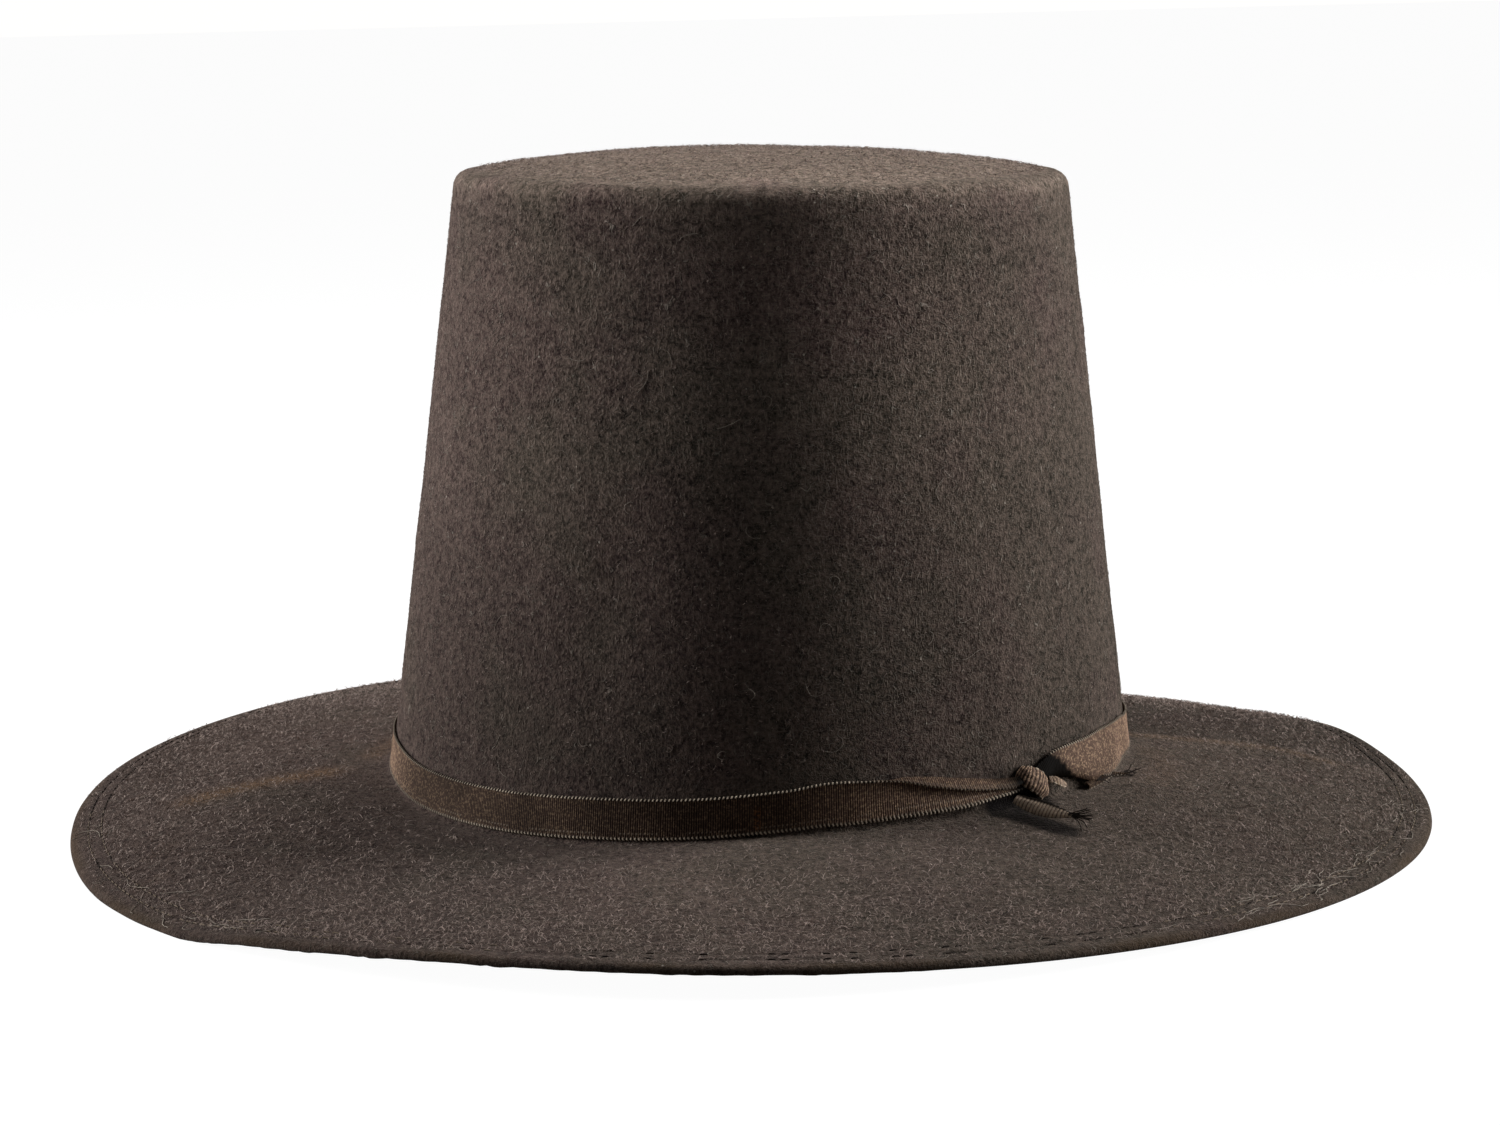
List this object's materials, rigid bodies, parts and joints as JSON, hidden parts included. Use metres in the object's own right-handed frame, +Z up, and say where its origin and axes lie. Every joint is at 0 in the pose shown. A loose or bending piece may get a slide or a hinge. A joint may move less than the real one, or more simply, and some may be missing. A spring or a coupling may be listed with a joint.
{
  "type": "tall-crowned felt dress hat",
  "caption": "Felt hat with a tall tapered oval crown, slightly domed tip, wavy wide brim and a narrow tied ribbon at its base.",
  "frame": {"origin": "on the surface that the brim rests on, under the middle of the hat's outline", "axes": "+Z up out of the tip of the crown, -X the front of the hat, +X the back, -Y the side with the ribbon's knot"},
  "size_m": [0.3672, 0.3374, 0.1809],
  "materials": {
    "felt": "worn brown-black fur felt with a short nap",
    "ribbon": "faded brown ribbed silk with corded edges"
  },
  "bodies": {
    "root": {"felt_body": "felt", "ribbon_band": "ribbon", "ribbon_knot": "ribbon", "ribbon_tail_lower": "ribbon", "ribbon_tail_upper": "ribbon"}
  },
  "joints": []
}
